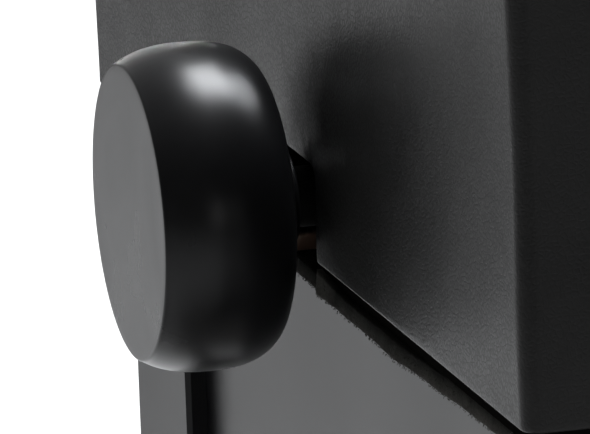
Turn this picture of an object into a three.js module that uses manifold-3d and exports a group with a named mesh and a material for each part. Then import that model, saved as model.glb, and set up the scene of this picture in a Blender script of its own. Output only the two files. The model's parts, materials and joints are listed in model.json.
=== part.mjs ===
// Height-adjustable piano bench.
//
// A black leg frame, topped with felt, carries a steel scissor lift. The lift raises a seat box that
// is covered in leatherette. A screw spindle runs along the bench, out through an open notch in each
// end of the seat box, and has a round hand knob on each end. Turning it draws the nut bar along and
// closes the scissor.
//
// Frame: millimetres, +Z up, X along the bench, Y across it, origin on the floor under the centre.
// The bench is drawn in its lowest position.

import * as THREE from "three";
import { mergeVertices } from "three/addons/utils/BufferGeometryUtils.js";
import Module from "manifold-3d";

const wasm = await Module();
wasm.setup();

// ---- driving dimensions ----

const GAP = 0.3; // left between pieces that touch

const SEAT_LENGTH = 560;
const SEAT_WIDTH = 330;
const SEAT_TOP = 485; // crown of the cushion, lowest position

const FRAME_INSET = 5; // leg faces behind the leatherette faces
const FRAME_TOP = 363;
const LEG_SIDE = 42;
const LEG_EASING = 1;
const APRON_HEIGHT = 93;
const APRON_THICKNESS = 19;
const APRON_SETBACK = 4.2; // apron faces behind the leg faces

const GLIDE_HEIGHT = 6;
const GLIDE_RADIUS = 14;

const BLOCK_HEIGHT = 60;
const BLOCK_THICKNESS = 20;
const BLOCK_DROP = 15; // top of a corner block below the top of the frame
const BOLT_RADIUS = 4;
const BOLT_EMBEDDED = 20; // length of a hanger bolt inside its leg
const NUT_RADIUS = 7.5;
const NUT_HEIGHT = 7;
const NUT_FLANGE_RADIUS = 10;
const NUT_FLANGE_THICKNESS = 2;

const FELT_THICKNESS = 3.6;
const FELT_WIDTH = 14;
const FELT_SETBACK = 1; // felt edge behind the leatherette face
const LEATHER = 1.2;
const LEATHER_HEM = 2.8; // lower edge of the leatherette above the lower edge of the boards
const BOX_CORNER_RADIUS = 4;
const SIDE_BOARD = 12;
const SEAT_BOARD = 15;
const SEAT_BOARD_BOTTOM = 436.3;
const SEAM_HEIGHT = 458; // where the top panel is sewn to the skirt
const CUSHION_SHOULDER = 8; // straight side of the top panel above the seam

const SPINDLE_HEIGHT = 380.5;
const NOTCH_WIDTH = 20.4;
const NOTCH_ABOVE_SPINDLE = 7.5;
const TRIM_WIDTH = 27.2; // notch in the leatherette, cut back from the notch in the board
const TRIM_ABOVE_SPINDLE = 9;
const NOTCH_CORNER = 4;

const ARM_LENGTH = 260; // pivot to pivot
const ARM_WIDTH = 18;
const ARM_THICKNESS = 4;
const REST_ANGLE = THREE.MathUtils.degToRad(10);
const RAISED_ANGLE = THREE.MathUtils.degToRad(32.6);
const OUTER_ARM_FACE = 132; // |Y| of the outer faces of the outer arms
const INNER_ARM_FACE = 126;

const RAIL_PLATE = 2.5;
const RAIL_FACE = 134.3; // |Y| of the inner faces of the steel rails
const RAIL_FLANGE = 12.7;
const LOWER_RAIL_HALF_LENGTH = 160;
const LOWER_RAIL_TOP = 393;
const UPPER_RAIL_HALF_LENGTH = 150;
const UPPER_RAIL_BOTTOM = 413.5;
const PIVOT_RADIUS = 5;
const PIVOT_HEAD_RADIUS = 7.2;
const PIVOT_HEAD = 2;

const NUT_BAR_SIDE = 22;
const NUT_BAR_HALF_LENGTH = 120;
const SPINDLE_NUT_RADIUS = 9;
const SPINDLE_NUT_FLANGE_RADIUS = 14;
const SPINDLE_NUT_FLANGE = 5;

const THREAD_RADIUS = 7;
const JOURNAL_RADIUS = 6;
const SHOULDER_RADIUS = 10;
const SHOULDER_LENGTH = 7;
const BUSH_RADIUS = 9;
const BUSH_LENGTH = 10;
const BUSH_FLANGE_RADIUS = 12;
const BUSH_FLANGE = 2.5;
const BEARING_PLATE = 3;
const BEARING_PLATE_WIDTH = 56;
const BEARING_PLATE_BOTTOM = 325;
const BEARING_PLATE_TOP = 396;
const BEARING_PLATE_CORNER = 8;

const KNOB_STANDOFF = 34; // flat face of a knob in front of the leatherette
const KNOB_RADIUS = 32.5;
const KNOB_FACE_RADIUS = 29.2;
const KNOB_DEPTH = 26.4;
const KNOB_WIDEST = 13; // depth of the widest ring behind the flat face
const KNOB_REAR_RADIUS = 23.5;
const KNOB_HUB_RADIUS = 10;
const KNOB_HUB = 5.6;
const KNOB_BORE_END = 8; // solid thickness in front of the spindle's end
const GRUB_RADIUS = 2;
const GRUB_LENGTH = 3.2;

const ROUND = 18; // sides of small round pieces
const KNOB_SIDES = 32;

// ---- worked out from them ----

const HALF_LENGTH = SEAT_LENGTH / 2;
const HALF_WIDTH = SEAT_WIDTH / 2;
const FRAME_HALF_LENGTH = HALF_LENGTH - FRAME_INSET;
const FRAME_HALF_WIDTH = HALF_WIDTH - FRAME_INSET;
const APRON_BEHIND_LEG = APRON_SETBACK + APRON_THICKNESS;
const APRON_INNER_X = FRAME_HALF_LENGTH - APRON_BEHIND_LEG;
const APRON_INNER_Y = FRAME_HALF_WIDTH - APRON_BEHIND_LEG;
const FELT_BOTTOM = FRAME_TOP + GAP;
const FELT_TOP = FELT_BOTTOM + FELT_THICKNESS;
const BOX_BOTTOM = FELT_TOP + GAP;
const SKIRT_BOTTOM = BOX_BOTTOM + LEATHER_HEM;
const BOX_HALF_LENGTH = HALF_LENGTH - LEATHER - GAP;
const BOX_HALF_WIDTH = HALF_WIDTH - LEATHER - GAP;
const FIXED_PIVOT_X = (-ARM_LENGTH / 2) * Math.cos(REST_ANGLE);
const SLIDING_PIVOT_X = -FIXED_PIVOT_X;
const RAISED_PIVOT_X = FIXED_PIVOT_X + ARM_LENGTH * Math.cos(RAISED_ANGLE);
const UPPER_PIVOT_HEIGHT = SPINDLE_HEIGHT + ARM_LENGTH * Math.sin(REST_ANGLE);
const CENTRE_PIVOT_HEIGHT = (SPINDLE_HEIGHT + UPPER_PIVOT_HEIGHT) / 2;
const RAIL_OUTER_FACE = RAIL_FACE + RAIL_PLATE;
const PIN_END = RAIL_OUTER_FACE + GAP + PIVOT_HEAD;
const KNOB_FACE_X = HALF_LENGTH + KNOB_STANDOFF;
const KNOB_REAR_X = KNOB_FACE_X - KNOB_DEPTH;
const BEARING_PLATE_X = APRON_INNER_X - GAP - BEARING_PLATE / 2;
const BUSH_INNER_X = BEARING_PLATE_X - BEARING_PLATE / 2 - GAP - BUSH_FLANGE;

// ---- finishes ----

const finish = (color, roughness, metalness = 0) =>
  new THREE.MeshStandardMaterial({ color, roughness, metalness });

const LACQUER = finish(0x0a0a0b, 0.08);
const LEATHERETTE = finish(0x1f1f21, 0.45);
const FELT = finish(0x1d1c19, 1);
const KNOB_PLASTIC = finish(0x0d0d0e, 0.22);
const PLYWOOD = finish(0xb08654, 0.75);
const BEECH = finish(0xc29a68, 0.7);
const FOAM = finish(0xd8cfae, 0.95);
const BLACK_STEEL = finish(0x18191b, 0.5, 0.6);
const BRIGHT_STEEL = finish(0xb9bab8, 0.35, 1);
const BLACKENED_STEEL = finish(0x1c1c1d, 0.4, 1);
const BRONZE = finish(0x9b7a43, 0.4, 1);
const NYLON = finish(0xd9d6cb, 0.6);
const GLIDE_PLASTIC = finish(0x161616, 0.55);

// ---- shape helpers ----

const bench = new THREE.Group();

/** Adds one named piece to a group (the bench by default). */
function piece(name, geometry, material, group = bench) {
  const mesh = new THREE.Mesh(geometry, material);
  mesh.name = name;
  group.add(mesh);
  return mesh;
}

/** A box from its low and high corners. */
function box(low, high) {
  const size = high.map((value, axis) => value - low[axis]);
  const middle = high.map((value, axis) => (value + low[axis]) / 2);
  return new THREE.BoxGeometry(...size).translate(...middle);
}

/** A cylinder along Z, Y or X, from one end to the other. */
function rod(axis, radius, from, to, sides = ROUND) {
  const geometry = new THREE.CylinderGeometry(radius, radius, to - from, sides);
  geometry.translate(0, (from + to) / 2, 0);
  return turnAxis(geometry, axis);
}

/** Turns a geometry made around Y so that its axis lies along the named axis. */
function turnAxis(geometry, axis) {
  if (axis === "x") geometry.rotateZ(-Math.PI / 2);
  if (axis === "z") geometry.rotateX(Math.PI / 2);
  return geometry;
}

/** A turned piece from [radius, station] corners that start and end on its axis. */
function turned(axis, corners, sides = ROUND) {
  const profile = corners.map(([radius, station]) => new THREE.Vector2(radius, station));
  return turnAxis(new THREE.LatheGeometry(profile, sides), axis);
}

/** A turned ring from [radius, station] corners that go round its section. */
function ring(axis, corners, sides = ROUND) {
  return turned(axis, [...corners, corners[0]], sides);
}

/** The solid of a closed geometry, for joining and cutting. */
function solid(geometry) {
  const bare = geometry.clone();
  bare.deleteAttribute("normal");
  bare.deleteAttribute("uv");
  const merged = mergeVertices(bare, 1e-4);
  const corners = merged.index.array;
  const triangles = [];
  for (let i = 0; i < corners.length; i += 3) {
    const [a, b, c] = [corners[i], corners[i + 1], corners[i + 2]];
    if (a !== b && b !== c && c !== a) triangles.push(a, b, c);
  }
  return new wasm.Manifold(
    new wasm.Mesh({
      numProp: 3,
      vertProperties: new Float32Array(merged.attributes.position.array),
      triVerts: new Uint32Array(triangles),
    }),
  );
}

/** The geometry of a solid that was joined or cut. */
function surface(body) {
  const mesh = body.getMesh();
  const geometry = new THREE.BufferGeometry();
  geometry.setAttribute("position", new THREE.BufferAttribute(mesh.vertProperties, 3));
  geometry.setIndex(new THREE.BufferAttribute(mesh.triVerts, 1));
  return geometry;
}

const join = (first, ...others) =>
  surface(others.reduce((body, other) => body.add(solid(other)), solid(first)));

const cut = (first, ...tools) =>
  surface(tools.reduce((body, tool) => body.subtract(solid(tool)), solid(first)));

/** An outline from its corner points. */
const outline = (points) => new THREE.Shape(points.map(([x, y]) => new THREE.Vector2(x, y)));

/** An outline extruded upwards from a height; an arc is drawn with twice curveSegments sides. */
function prism(shape, bottom, top, curveSegments = 8) {
  const geometry = new THREE.ExtrudeGeometry(shape, {
    depth: top - bottom,
    bevelEnabled: false,
    curveSegments,
  });
  return geometry.translate(0, 0, bottom);
}

/** An outline drawn in X and Z, with a thickness along Y. */
function plateAlongX(shape, nearY, farY) {
  const geometry = prism(shape, -farY, -nearY);
  return geometry.rotateX(Math.PI / 2);
}

/** An outline drawn in Y and Z, with a thickness along X. */
function plateAlongY(shape, nearX, farX) {
  const geometry = prism(shape, nearX, farX);
  return geometry.rotateX(Math.PI / 2).rotateZ(Math.PI / 2);
}

/** A slot outline with round ends between two centres on one level. */
function slot(fromX, toX, level, radius) {
  const shape = new THREE.Shape();
  shape.absarc(toX, level, radius, -Math.PI / 2, Math.PI / 2, false);
  shape.absarc(fromX, level, radius, Math.PI / 2, (Math.PI * 3) / 2, false);
  shape.closePath();
  return shape;
}

/** A round hole outline. */
function hole(x, level, radius) {
  const shape = new THREE.Shape();
  shape.absarc(x, level, radius, 0, Math.PI * 2, false);
  return shape;
}

/** A rectangle outline with rounded corners, centred on the origin. */
function roundedRectangle(halfX, halfY, radius) {
  const shape = new THREE.Shape();
  shape.moveTo(halfX, -halfY + radius);
  shape.absarc(halfX - radius, halfY - radius, radius, 0, Math.PI / 2, false);
  shape.absarc(-halfX + radius, halfY - radius, radius, Math.PI / 2, Math.PI, false);
  shape.absarc(-halfX + radius, -halfY + radius, radius, Math.PI, (Math.PI * 3) / 2, false);
  shape.absarc(halfX - radius, -halfY + radius, radius, (Math.PI * 3) / 2, Math.PI * 2, false);
  return shape;
}

/** The open notch that clears the spindle, as a tool that runs through the skirt. */
function notchTool(width, aboveSpindle) {
  const shape = new THREE.Shape();
  const below = BOX_BOTTOM - 1;
  const halfWidth = width / 2;
  const top = SPINDLE_HEIGHT + aboveSpindle;
  shape.moveTo(-halfWidth, below);
  shape.lineTo(halfWidth, below);
  shape.lineTo(halfWidth, top - NOTCH_CORNER);
  shape.absarc(halfWidth - NOTCH_CORNER, top - NOTCH_CORNER, NOTCH_CORNER, 0, Math.PI / 2, false);
  shape.absarc(-halfWidth + NOTCH_CORNER, top - NOTCH_CORNER, NOTCH_CORNER, Math.PI / 2, Math.PI, false);
  shape.closePath();
  return shape;
}

/** A crowned block: straight sides up to a shoulder, then a domed top. */
function crownedBlock(halfX, halfY, bottom, shoulder, crown) {
  const columns = 12;
  const rows = 10;
  const station = (index, count) => Math.sin((Math.PI / 2) * ((2 * index) / count - 1));
  const swell = (t) => Math.pow(1 - Math.pow(Math.abs(t), 4), 0.42);
  const positions = [];
  const indices = [];
  const layer = (height) => {
    const first = positions.length / 3;
    for (let j = 0; j <= rows; j += 1) {
      for (let i = 0; i <= columns; i += 1) {
        const u = station(i, columns);
        const v = station(j, rows);
        positions.push(u * halfX, v * halfY, height(u, v));
      }
    }
    return (i, j) => first + j * (columns + 1) + i;
  };
  const top = layer((u, v) => shoulder + (crown - shoulder) * swell(u) * swell(v));
  const base = layer(() => bottom);
  for (let j = 0; j < rows; j += 1) {
    for (let i = 0; i < columns; i += 1) {
      indices.push(top(i, j), top(i + 1, j), top(i + 1, j + 1));
      indices.push(top(i, j), top(i + 1, j + 1), top(i, j + 1));
      indices.push(base(i, j), base(i + 1, j + 1), base(i + 1, j));
      indices.push(base(i, j), base(i, j + 1), base(i + 1, j + 1));
    }
  }
  const wall = (a, b) => {
    indices.push(base(...a), base(...b), top(...b));
    indices.push(base(...a), top(...b), top(...a));
  };
  for (let i = 0; i < columns; i += 1) {
    wall([i, 0], [i + 1, 0]);
    wall([i + 1, rows], [i, rows]);
  }
  for (let j = 0; j < rows; j += 1) {
    wall([columns, j], [columns, j + 1]);
    wall([0, j + 1], [0, j]);
  }
  const geometry = new THREE.BufferGeometry();
  geometry.setAttribute("position", new THREE.Float32BufferAttribute(positions, 3));
  geometry.setIndex(indices);
  return geometry;
}

// ---- leg frame ----

/** A tool along the diagonal from a leg's middle towards the inside of the frame. */
function diagonalRod(radius, from, to, sides = ROUND) {
  const level = FRAME_TOP - BLOCK_DROP - BLOCK_HEIGHT / 2;
  return rod("x", radius, -to, -from, sides).rotateZ(Math.PI / 4).translate(0, 0, level);
}

/** A square leg with eased edges, bored for its hanger bolt. */
function leg(boltStart) {
  const half = LEG_SIDE / 2;
  const eased = half - LEG_EASING;
  const section = outline([
    [half, -eased],
    [half, eased],
    [eased, half],
    [-eased, half],
    [-half, eased],
    [-half, -eased],
    [-eased, -half],
    [eased, -half],
  ]);
  return cut(prism(section, GLIDE_HEIGHT, FRAME_TOP), diagonalRod(BOLT_RADIUS + GAP, boltStart - GAP, LEG_SIDE));
}

/** A block glued across a corner behind the leg, bored for the hanger bolt. */
function cornerBlock(nearFace, farFace) {
  const apron = LEG_SIDE / 2 - APRON_BEHIND_LEG - GAP;
  const near = -nearFace * Math.SQRT2 - apron;
  const far = -farFace * Math.SQRT2 - apron;
  const section = outline([
    [apron, near],
    [near, apron],
    [far, apron],
    [apron, far],
  ]);
  const top = FRAME_TOP - BLOCK_DROP;
  return cut(prism(section, top - BLOCK_HEIGHT, top), diagonalRod(BOLT_RADIUS + GAP, 0, farFace + LEG_SIDE));
}

/** One corner of the frame, made for the +X +Y corner and turned to its place. */
function frameCorner(name, sideX, sideY, turn) {
  const corner = new THREE.Group();
  corner.position.set(sideX * (FRAME_HALF_LENGTH - LEG_SIDE / 2), sideY * (FRAME_HALF_WIDTH - LEG_SIDE / 2), 0);
  corner.rotation.z = turn;
  bench.add(corner);

  const legEdge = (LEG_SIDE / 2 - LEG_EASING / 2) * Math.SQRT2;
  const boltStart = legEdge - BOLT_EMBEDDED;
  const blockNear = legEdge + GAP;
  const blockFar = blockNear + BLOCK_THICKNESS;
  const nutStart = blockFar + GAP;
  const hexStart = nutStart + NUT_FLANGE_THICKNESS;
  const nutEnd = hexStart + NUT_HEIGHT;

  piece(`leg_${name}`, leg(boltStart), LACQUER, corner);
  piece(`corner_block_${name}`, cornerBlock(blockNear, blockFar), BEECH, corner);
  piece(`hanger_bolt_${name}`, diagonalRod(BOLT_RADIUS, boltStart, nutEnd + 3), BRIGHT_STEEL, corner);
  const nut = cut(
    join(diagonalRod(NUT_FLANGE_RADIUS, nutStart, hexStart), diagonalRod(NUT_RADIUS, hexStart - 1, nutEnd, 6)),
    diagonalRod(BOLT_RADIUS + GAP, nutStart - 1, nutEnd + 1),
  );
  piece(`hanger_nut_${name}`, nut, BRIGHT_STEEL, corner);
  const glide = turned("z", [
    [0, 0],
    [GLIDE_RADIUS - 2, 0],
    [GLIDE_RADIUS, -2],
    [GLIDE_RADIUS, -GLIDE_HEIGHT + GAP],
    [0, -GLIDE_HEIGHT + GAP],
  ].map(([radius, depth]) => [radius, -depth]));
  piece(`glide_${name}`, glide, GLIDE_PLASTIC, corner);
}

function legFrame() {
  frameCorner("right_rear", 1, 1, 0);
  frameCorner("left_rear", -1, 1, Math.PI / 2);
  frameCorner("left_front", -1, -1, Math.PI);
  frameCorner("right_front", 1, -1, (Math.PI * 3) / 2);

  const apronBottom = FRAME_TOP - APRON_HEIGHT;
  const longEnd = FRAME_HALF_LENGTH - LEG_SIDE - GAP;
  const shortEnd = FRAME_HALF_WIDTH - LEG_SIDE - GAP;
  const outerX = FRAME_HALF_LENGTH - APRON_SETBACK;
  const outerY = FRAME_HALF_WIDTH - APRON_SETBACK;
  piece("apron_front", box([-longEnd, -outerY, apronBottom], [longEnd, -APRON_INNER_Y, FRAME_TOP]), LACQUER);
  piece("apron_rear", box([-longEnd, APRON_INNER_Y, apronBottom], [longEnd, outerY, FRAME_TOP]), LACQUER);
  piece("apron_left", box([-outerX, -shortEnd, apronBottom], [-APRON_INNER_X, shortEnd, FRAME_TOP]), LACQUER);
  piece("apron_right", box([APRON_INNER_X, -shortEnd, apronBottom], [outerX, shortEnd, FRAME_TOP]), LACQUER);
}

// ---- felt between the frame and the seat box ----

function feltStrips() {
  const outerX = HALF_LENGTH - FELT_SETBACK;
  const outerY = HALF_WIDTH - FELT_SETBACK;
  const innerX = outerX - FELT_WIDTH;
  const innerY = outerY - FELT_WIDTH;
  const end = innerY - GAP;
  piece("felt_strip_front", box([-outerX, -outerY, FELT_BOTTOM], [outerX, -innerY, FELT_TOP]), FELT);
  piece("felt_strip_rear", box([-outerX, innerY, FELT_BOTTOM], [outerX, outerY, FELT_TOP]), FELT);
  piece("felt_strip_left", box([-outerX, -end, FELT_BOTTOM], [-innerX, end, FELT_TOP]), FELT);
  piece("felt_strip_right", box([innerX, -end, FELT_BOTTOM], [outerX, end, FELT_TOP]), FELT);
}

// ---- scissor lift ----

/** The plate of a rail in X and Z, with the fixed pivot's hole and the sliding pivot's slot. */
function railPlate(halfLength, bottom, top, pivotLevel) {
  const shape = outline([
    [-halfLength, bottom],
    [halfLength, bottom],
    [halfLength, top],
    [-halfLength, top],
  ]);
  const clearance = PIVOT_RADIUS + GAP;
  shape.holes.push(hole(FIXED_PIVOT_X, pivotLevel, clearance));
  shape.holes.push(slot(RAISED_PIVOT_X - GAP, SLIDING_PIVOT_X + GAP, pivotLevel, clearance));
  return shape;
}

/** An angle rail for one side: sign -1 is the front, 1 the rear. */
function rail(sign, shape, halfLength, flangeBottom) {
  const faces = [sign * RAIL_FACE, sign * RAIL_OUTER_FACE].sort((a, b) => a - b);
  const edges = [sign * RAIL_FACE, sign * (RAIL_OUTER_FACE + RAIL_FLANGE)].sort((a, b) => a - b);
  const flange = box([-halfLength, edges[0], flangeBottom], [halfLength, edges[1], flangeBottom + RAIL_PLATE]);
  return join(plateAlongX(shape, faces[0], faces[1]), flange);
}

function rails() {
  const lower = railPlate(LOWER_RAIL_HALF_LENGTH, FRAME_TOP + GAP, LOWER_RAIL_TOP, SPINDLE_HEIGHT);
  const upperTop = SEAT_BOARD_BOTTOM - GAP;
  const upper = railPlate(UPPER_RAIL_HALF_LENGTH, UPPER_RAIL_BOTTOM, upperTop, UPPER_PIVOT_HEIGHT);
  for (const [side, sign] of [["front", -1], ["rear", 1]]) {
    piece(`lower_rail_${side}`, rail(sign, lower, LOWER_RAIL_HALF_LENGTH, FRAME_TOP + GAP), BLACK_STEEL);
    piece(`upper_rail_${side}`, rail(sign, upper, UPPER_RAIL_HALF_LENGTH, upperTop - RAIL_PLATE), BLACK_STEEL);
  }
}

/** A flat arm with three pivot holes, centred on the middle one. */
function arm(nearY, farY) {
  const reach = ARM_LENGTH / 2;
  const shape = slot(-reach, reach, 0, ARM_WIDTH / 2);
  for (const x of [-reach, 0, reach]) shape.holes.push(hole(x, 0, PIVOT_RADIUS + GAP));
  return plateAlongX(shape, nearY, farY);
}

function arms() {
  const layers = [
    ["outer", OUTER_ARM_FACE, -REST_ANGLE],
    ["inner", INNER_ARM_FACE, REST_ANGLE],
  ];
  for (const [layer, face, angle] of layers) {
    const front = piece(`${layer}_arm_front`, arm(-face, -face + ARM_THICKNESS), BLACK_STEEL);
    const rear = piece(`${layer}_arm_rear`, arm(face - ARM_THICKNESS, face), BLACK_STEEL);
    for (const mesh of [front, rear]) {
      mesh.position.z = CENTRE_PIVOT_HEIGHT;
      mesh.rotation.y = angle;
    }
  }
}

/** A cross shaft with riveted heads at both ends. */
function crossShaft(headStart, headEnd) {
  return turned("y", [
    [0, -headEnd],
    [PIVOT_HEAD_RADIUS, -headEnd],
    [PIVOT_HEAD_RADIUS, -headStart],
    [PIVOT_RADIUS, -headStart],
    [PIVOT_RADIUS, headStart],
    [PIVOT_HEAD_RADIUS, headStart],
    [PIVOT_HEAD_RADIUS, headEnd],
    [0, headEnd],
  ]);
}

function pivots() {
  const headStart = RAIL_OUTER_FACE + GAP;
  const centre = piece("centre_shaft", crossShaft(OUTER_ARM_FACE + GAP, RAIL_FACE - GAP), BRIGHT_STEEL);
  centre.position.z = CENTRE_PIVOT_HEIGHT;
  const sliding = piece("upper_slide_shaft", crossShaft(headStart, PIN_END), BRIGHT_STEEL);
  sliding.position.set(SLIDING_PIVOT_X, 0, UPPER_PIVOT_HEIGHT);
  const fixed = piece("upper_pivot_shaft", crossShaft(headStart, PIN_END), BRIGHT_STEEL);
  fixed.position.set(FIXED_PIVOT_X, 0, UPPER_PIVOT_HEIGHT);

  const innerHead = OUTER_ARM_FACE - ARM_THICKNESS - GAP;
  const pin = [
    [0, innerHead - PIVOT_HEAD],
    [PIVOT_HEAD_RADIUS, innerHead - PIVOT_HEAD],
    [PIVOT_HEAD_RADIUS, innerHead],
    [PIVOT_RADIUS, innerHead],
    [PIVOT_RADIUS, headStart],
    [PIVOT_HEAD_RADIUS, headStart],
    [PIVOT_HEAD_RADIUS, PIN_END],
    [0, PIN_END],
  ];
  const mirrored = pin.map(([radius, station]) => [radius, -station]).reverse();
  const rear = piece("lower_pivot_pin_rear", turned("y", pin), BRIGHT_STEEL);
  const front = piece("lower_pivot_pin_front", turned("y", mirrored), BRIGHT_STEEL);
  for (const mesh of [rear, front]) mesh.position.set(FIXED_PIVOT_X, 0, SPINDLE_HEIGHT);
}

/** The cross bar that the spindle draws along, with journals for the inner arms. */
function nutBar() {
  const half = NUT_BAR_SIDE / 2;
  const bar = box([-half, -NUT_BAR_HALF_LENGTH, -half], [half, NUT_BAR_HALF_LENGTH, half]);
  const journals = crossShaft(RAIL_OUTER_FACE + GAP, PIN_END);
  const body = cut(join(bar, journals), rod("x", SPINDLE_NUT_RADIUS + GAP, -NUT_BAR_SIDE, NUT_BAR_SIDE));
  piece("nut_bar", body, BLACK_STEEL).position.set(SLIDING_PIVOT_X, 0, SPINDLE_HEIGHT);

  const flangeStart = half + GAP;
  const nut = ring("x", [
    [THREAD_RADIUS + GAP, -half],
    [SPINDLE_NUT_RADIUS, -half],
    [SPINDLE_NUT_RADIUS, flangeStart],
    [SPINDLE_NUT_FLANGE_RADIUS, flangeStart],
    [SPINDLE_NUT_FLANGE_RADIUS, flangeStart + SPINDLE_NUT_FLANGE],
    [THREAD_RADIUS + GAP, flangeStart + SPINDLE_NUT_FLANGE],
  ]);
  piece("spindle_nut", nut, BRONZE).position.set(SLIDING_PIVOT_X, 0, SPINDLE_HEIGHT);
}

// ---- spindle, bearings and knobs ----

function bearings() {
  const half = BEARING_PLATE_WIDTH / 2;
  const shape = outline([
    [-half, BEARING_PLATE_BOTTOM],
    [half, BEARING_PLATE_BOTTOM],
    [half, BEARING_PLATE_TOP - BEARING_PLATE_CORNER],
    [half - BEARING_PLATE_CORNER, BEARING_PLATE_TOP],
    [-half + BEARING_PLATE_CORNER, BEARING_PLATE_TOP],
    [-half, BEARING_PLATE_TOP - BEARING_PLATE_CORNER],
  ]);
  shape.holes.push(hole(0, SPINDLE_HEIGHT, BUSH_RADIUS + GAP));
  const bush = [
    [JOURNAL_RADIUS + GAP, BUSH_INNER_X],
    [BUSH_FLANGE_RADIUS, BUSH_INNER_X],
    [BUSH_FLANGE_RADIUS, BUSH_INNER_X + BUSH_FLANGE],
    [BUSH_RADIUS, BUSH_INNER_X + BUSH_FLANGE],
    [BUSH_RADIUS, BUSH_INNER_X + BUSH_LENGTH],
    [JOURNAL_RADIUS + GAP, BUSH_INNER_X + BUSH_LENGTH],
  ];
  const mirrored = bush.map(([radius, station]) => [radius, -station]).reverse();
  for (const [side, sign, corners] of [["left", -1, mirrored], ["right", 1, bush]]) {
    const middle = sign * BEARING_PLATE_X;
    const plate = plateAlongY(shape, middle - BEARING_PLATE / 2, middle + BEARING_PLATE / 2);
    piece(`bearing_plate_${side}`, plate, BLACK_STEEL);
    piece(`spindle_bush_${side}`, ring("x", corners), NYLON).position.z = SPINDLE_HEIGHT;
  }
}

/** The screw spindle: threaded in the middle, shouldered inside each bearing plate. */
function spindle() {
  const shoulderEnd = BUSH_INNER_X - GAP;
  const shoulderStart = shoulderEnd - SHOULDER_LENGTH;
  const end = KNOB_FACE_X - KNOB_BORE_END - 1;
  const half = [
    [THREAD_RADIUS, shoulderStart],
    [SHOULDER_RADIUS, shoulderStart],
    [SHOULDER_RADIUS, shoulderEnd],
    [JOURNAL_RADIUS, shoulderEnd],
    [JOURNAL_RADIUS, end - 1],
    [JOURNAL_RADIUS - 1, end],
    [0, end],
  ];
  const mirrored = half.map(([radius, station]) => [radius, -station]).reverse();
  piece("spindle", turned("x", [...mirrored, ...half]), BLACKENED_STEEL).position.z = SPINDLE_HEIGHT;
}

/** Half section of a knob: [radius, depth behind the flat face]. */
function knobProfile() {
  const edge = 0.6;
  const outer = new THREE.Path();
  outer.moveTo(0, 0);
  outer.lineTo(KNOB_FACE_RADIUS - edge, 0);
  outer.lineTo(KNOB_FACE_RADIUS, edge);
  outer.quadraticCurveTo(KNOB_RADIUS, KNOB_WIDEST * 0.4, KNOB_RADIUS, KNOB_WIDEST);
  outer.bezierCurveTo(KNOB_RADIUS, 20.5, KNOB_RADIUS - 2, KNOB_DEPTH, KNOB_REAR_RADIUS, KNOB_DEPTH);
  const bore = JOURNAL_RADIUS + GAP;
  return [
    ...outer.getPoints(4).map((point) => [point.x, point.y]),
    [KNOB_HUB_RADIUS, KNOB_DEPTH],
    [KNOB_HUB_RADIUS, KNOB_DEPTH + KNOB_HUB],
    [bore, KNOB_DEPTH + KNOB_HUB],
    [bore, KNOB_BORE_END],
    [0, KNOB_BORE_END],
  ];
}

/** A knob with its grub screw, drawn facing -X and turned round for the right end. */
function knob(side, turn) {
  const end = new THREE.Group();
  end.position.z = SPINDLE_HEIGHT;
  end.rotation.z = turn;
  bench.add(end);
  const corners = knobProfile().map(([radius, depth]) => [radius, depth - KNOB_FACE_X]);
  const hubMiddle = KNOB_HUB / 2 - KNOB_REAR_X;
  const screwHole = rod("z", GRUB_RADIUS + GAP, JOURNAL_RADIUS, KNOB_HUB_RADIUS + 2, 12);
  const body = cut(turned("x", corners, KNOB_SIDES), screwHole.translate(hubMiddle, 0, 0));
  piece(`knob_${side}`, body, KNOB_PLASTIC, end);
  const grubStart = JOURNAL_RADIUS + GAP;
  const grub = rod("z", GRUB_RADIUS, grubStart, grubStart + GRUB_LENGTH, 12);
  piece(`knob_grub_screw_${side}`, grub, BLACKENED_STEEL, end).position.x = hubMiddle;
}

// ---- seat box and upholstery ----

function seatBox() {
  const top = SEAT_BOARD_BOTTOM - GAP;
  const innerX = BOX_HALF_LENGTH - SIDE_BOARD;
  const innerY = BOX_HALF_WIDTH - SIDE_BOARD;
  const boardTop = SEAT_BOARD_BOTTOM + SEAT_BOARD;
  const seat = box([-BOX_HALF_LENGTH, -BOX_HALF_WIDTH, SEAT_BOARD_BOTTOM], [BOX_HALF_LENGTH, BOX_HALF_WIDTH, boardTop]);
  piece("seat_board", seat, PLYWOOD);
  const front = box([-BOX_HALF_LENGTH, -BOX_HALF_WIDTH, BOX_BOTTOM], [BOX_HALF_LENGTH, -innerY, top]);
  const rear = box([-BOX_HALF_LENGTH, innerY, BOX_BOTTOM], [BOX_HALF_LENGTH, BOX_HALF_WIDTH, top]);
  piece("side_board_front", front, PLYWOOD);
  piece("side_board_rear", rear, PLYWOOD);

  const notch = notchTool(NOTCH_WIDTH, NOTCH_ABOVE_SPINDLE);
  for (const [side, sign] of [["left", -1], ["right", 1]]) {
    const [low, high] = [sign * innerX, sign * BOX_HALF_LENGTH].sort((a, b) => a - b);
    const board = box([low, -innerY + GAP, BOX_BOTTOM], [high, innerY - GAP, top]);
    piece(`side_board_${side}`, cut(board, plateAlongY(notch, low - 1, high + 1)), PLYWOOD);
  }
}

/** The leatherette skirt: one band round the seat box, turned under the side boards. */
function skirt() {
  const band = roundedRectangle(HALF_LENGTH, HALF_WIDTH, BOX_CORNER_RADIUS);
  band.holes.push(roundedRectangle(HALF_LENGTH - LEATHER, HALF_WIDTH - LEATHER, BOX_CORNER_RADIUS - 3.8));
  const trim = notchTool(TRIM_WIDTH, TRIM_ABOVE_SPINDLE);
  const reach = HALF_LENGTH + 1;
  return cut(
    prism(band, SKIRT_BOTTOM, SEAM_HEIGHT, 2),
    plateAlongY(trim, -reach, -reach + 5),
    plateAlongY(trim, reach - 5, reach),
  );
}

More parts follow.
